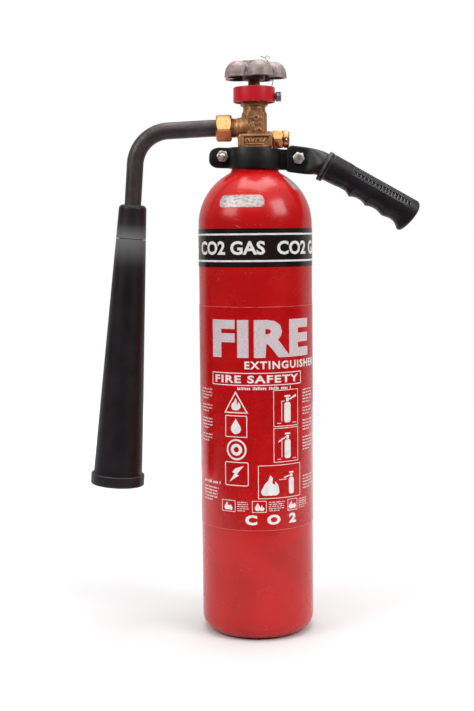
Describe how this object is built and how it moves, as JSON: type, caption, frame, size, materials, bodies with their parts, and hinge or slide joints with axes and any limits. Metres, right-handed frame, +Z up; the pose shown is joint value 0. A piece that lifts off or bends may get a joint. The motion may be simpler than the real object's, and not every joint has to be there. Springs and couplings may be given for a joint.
{
  "type": "carbon dioxide fire extinguisher",
  "caption": "Portable carbon dioxide fire extinguisher with a turning handwheel valve, a swivelling discharge horn and a carrying handle clamped to its neck.",
  "frame": {"origin": "centre of the cylinder's flat base, on the cylinder's axis", "axes": "+Z up along the cylinder; -Y towards the front; -X towards the discharge horn; +X towards the handle"},
  "size_m": [0.3178, 0.1087, 0.5493],
  "materials": {
    "red_paint": "glossy red enamel over steel",
    "black_label": "glossy black film",
    "red_label": "glossy red film",
    "cast_brass": "tarnished forging",
    "bright_brass": "machined, lightly tarnished",
    "grey_casting": "worn grey-brown lacquer on a light alloy casting",
    "bright_steel": "zinc plated",
    "dark_tube": "dark satin coating on steel tube",
    "black_paint": "satin black enamel on steel",
    "black_plastic": "satin black moulding",
    "red_plastic": "semi-gloss red moulding",
    "white_nylon": "natural nylon",
    "fibre": "red vulcanised fibre",
    "copper": "thin rolled copper",
    "aluminium_tube": "drawn tube",
    "lead": "dull pressed soft metal"
  },
  "bodies": {
    "cylinder": {"cylinder_shell": "red_paint", "agent_band_label": "black_label", "instruction_label": "red_label", "valve_body": "cast_brass", "gland_nut": "cast_brass", "gland_follower": "bright_brass", "gland_packing": "white_nylon", "tamper_collar": "red_plastic", "union_nut": "bright_brass", "union_washer": "fibre", "safety_plug": "bright_brass", "burst_disc": "copper", "burst_gasket": "fibre", "dip_tube": "aluminium_tube", "clamp_front": "black_paint", "clamp_rear": "black_paint", "clamp_bolt_left": "bright_steel", "clamp_bolt_right": "bright_steel", "clamp_nut_left": "bright_steel", "clamp_nut_right": "bright_steel", "handle_tube": "black_paint", "handle_grip": "black_plastic", "seal_wire_lower": "bright_steel", "lead_seal": "lead"},
    "wheel": {"spindle": "bright_brass", "handwheel": "grey_casting", "handwheel_washer": "bright_steel", "handwheel_nut": "bright_steel", "seal_wire_upper": "bright_steel"},
    "plug": {"valve_plug": "bright_brass", "seat_insert": "white_nylon"},
    "horn": {"discharge_tube": "dark_tube", "tube_ferrule": "bright_brass", "discharge_nozzle": "bright_brass", "horn_neck": "black_plastic", "horn_cone": "black_plastic"}
  },
  "joints": [
    {"name": "handwheel_turn", "type": "hinge", "parent": "cylinder", "child": "wheel", "pos_m": [0, 0, 0.53], "axis": [0, 0, 1], "range_deg": [0, 540]},
    {"name": "valve_plug_lift", "type": "slide", "parent": "wheel", "child": "plug", "axis": [0, 0, 1], "range_m": [0, 0.003]},
    {"name": "horn_swivel", "type": "hinge", "parent": "cylinder", "child": "horn", "pos_m": [0, 0, 0.4833], "axis": [1, 0, 0], "continuous": true}
  ],
  "couplings": [
    {"joint": "valve_plug_lift", "follows": "handwheel_turn", "m_per_rad": 0.0003183}
  ]
}
